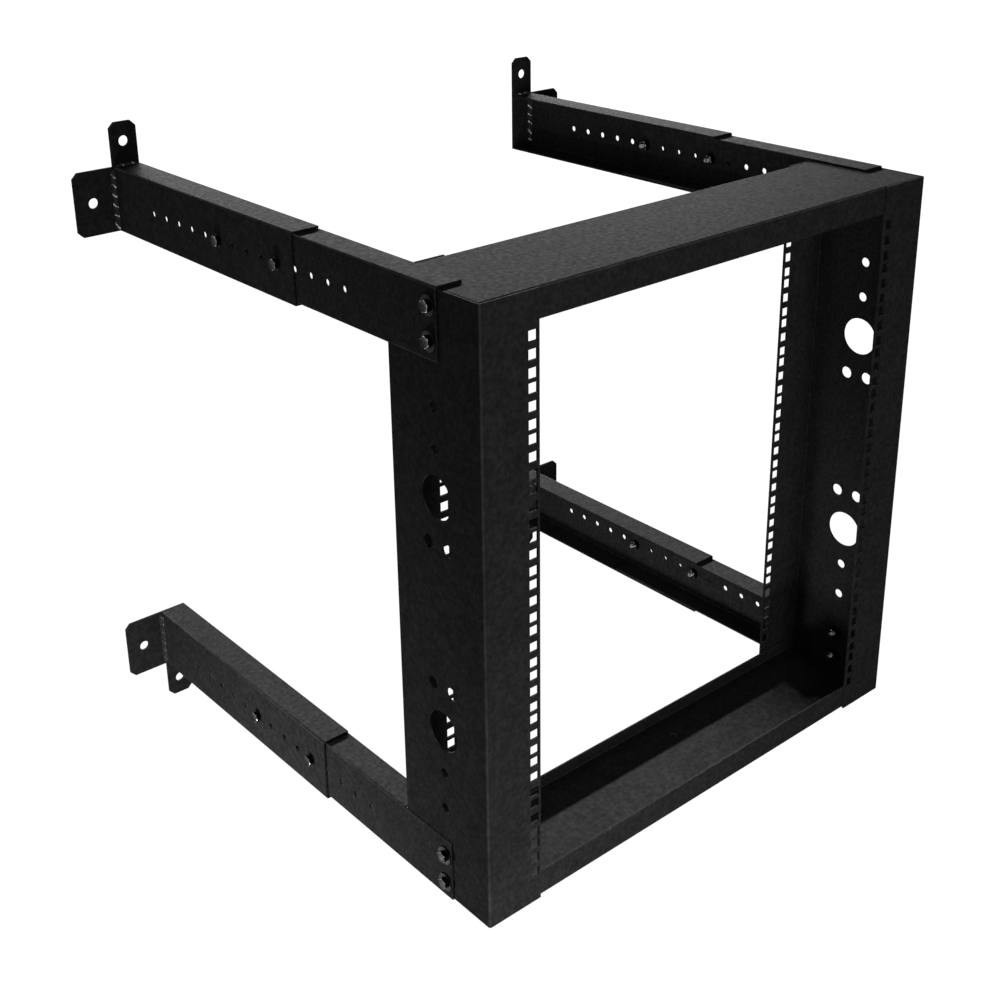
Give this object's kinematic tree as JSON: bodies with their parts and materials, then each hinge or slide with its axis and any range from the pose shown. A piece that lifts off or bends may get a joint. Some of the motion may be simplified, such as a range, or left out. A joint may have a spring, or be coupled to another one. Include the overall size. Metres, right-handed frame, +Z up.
{
  "type": "adjustable-depth wall mount rack bracket",
  "caption": "Open-frame wall rack of folded black steel: punched square-hole uprights, cross channels, and telescoping arms ending in bolt-on wall plates.",
  "frame": {"origin": "on the wall face of the upper left wall plate, behind the middle of its arm", "axes": "+X to the right as seen from the room, +Y into the wall, +Z up"},
  "size_m": [0.6748, 0.59, 0.6918],
  "materials": {
    "powder_coat": "satin, fine textured",
    "weld_bead": "satin"
  },
  "bodies": {
    "wall_side": {"upper_left_outer_arm": "powder_coat", "upper_left_wall_plate": "powder_coat", "upper_left_weld": "weld_bead", "upper_right_outer_arm": "powder_coat", "upper_right_wall_plate": "powder_coat", "upper_right_weld": "weld_bead", "lower_left_outer_arm": "powder_coat", "lower_left_wall_plate": "powder_coat", "lower_left_weld": "weld_bead", "lower_right_outer_arm": "powder_coat", "lower_right_wall_plate": "powder_coat", "lower_right_weld": "weld_bead"},
    "rack": {"left_upright": "powder_coat", "right_upright": "powder_coat", "top_channel": "powder_coat", "bottom_channel": "powder_coat", "upper_left_inner_arm": "powder_coat", "upper_right_inner_arm": "powder_coat", "lower_left_inner_arm": "powder_coat", "lower_right_inner_arm": "powder_coat"}
  },
  "joints": [
    {"name": "depth_adjust", "type": "slide", "parent": "wall_side", "child": "rack", "axis": [0, 1, 0], "range_m": [-0.0254, 0.1016]}
  ]
}
